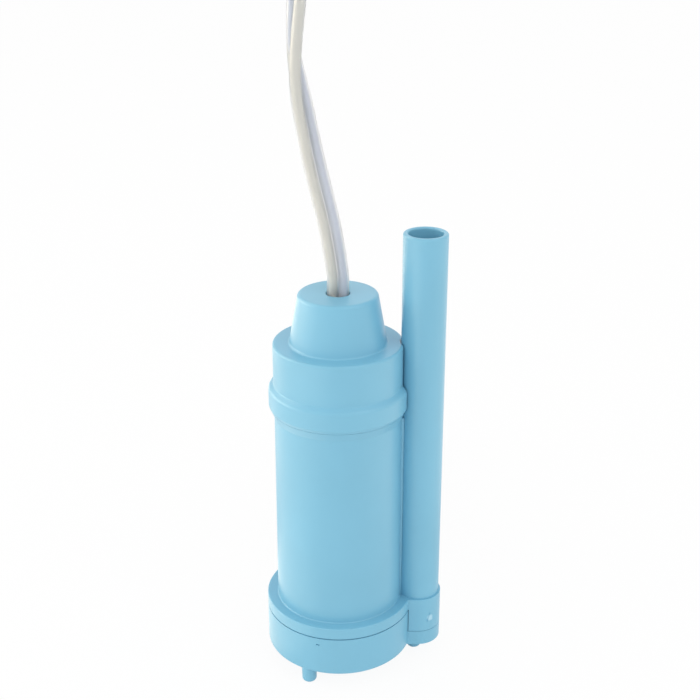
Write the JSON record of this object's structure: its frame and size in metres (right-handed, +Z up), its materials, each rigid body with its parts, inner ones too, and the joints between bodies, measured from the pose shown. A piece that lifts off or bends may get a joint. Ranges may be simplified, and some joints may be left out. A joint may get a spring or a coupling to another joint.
{
  "type": "caravan water pump",
  "caption": "Slim submersible water pump: round motor housing with a footed intake base, an outlet riser pipe for a hose at its side and a twin flex from its cap.",
  "frame": {"origin": "on the surface that the pump stands on, at the middle of the pump's outline without its flex", "axes": "+Z up along the motor's axis, +X from the motor's axis to the riser pipe"},
  "size_m": [0.0464, 0.1452, 0.1949],
  "materials": {
    "blue_plastic": "satin moulded",
    "black_rubber": "matt",
    "white_plastic": "moulded",
    "steel": "drawn",
    "brass": "plain",
    "bronze": "sintered",
    "copper": "enamelled wire",
    "ferrite": "matt",
    "carbon": "matt",
    "ceramic": "dipped",
    "clear_flex": "clear vinyl over copper strands",
    "lead_vinyl": "clear vinyl over copper strands",
    "tinned_copper": "tinned strands",
    "tie_plastic": "moulded"
  },
  "bodies": {
    "pump_body": {"motor_housing": "blue_plastic", "top_cap": "blue_plastic", "base_cover": "blue_plastic", "riser_pipe": "blue_plastic", "cap_seal": "black_rubber", "cable_grommet": "black_rubber", "cable_clamp": "white_plastic", "cable_tail": "clear_flex", "inner_leads": "lead_vinyl", "motor_can": "steel", "motor_end_bell": "white_plastic", "field_magnets": "ferrite", "magnet_clips": "steel", "front_bearing": "bronze", "rear_bearing": "bronze", "carbon_brushes": "carbon", "brush_arms": "brass", "motor_terminals": "brass", "suppressor_capacitor": "ceramic", "motor_screws": "steel", "motor_cushion": "black_rubber", "shaft_seal": "black_rubber", "seal_retainer": "steel", "cable_run": "clear_flex", "cable_hank": "clear_flex", "hank_tie": "tie_plastic", "lead_ends": "clear_flex", "lead_tips": "tinned_copper"},
    "rotor": {"motor_shaft": "steel", "armature_core": "steel", "armature_windings": "copper", "commutator": "copper", "thrust_washers": "white_plastic", "impeller": "white_plastic"}
  },
  "joints": [
    {"name": "rotor_spin", "type": "hinge", "parent": "pump_body", "child": "rotor", "pos_m": [-0.00385, 0, 0.04], "axis": [0, 0, 1], "continuous": true}
  ]
}
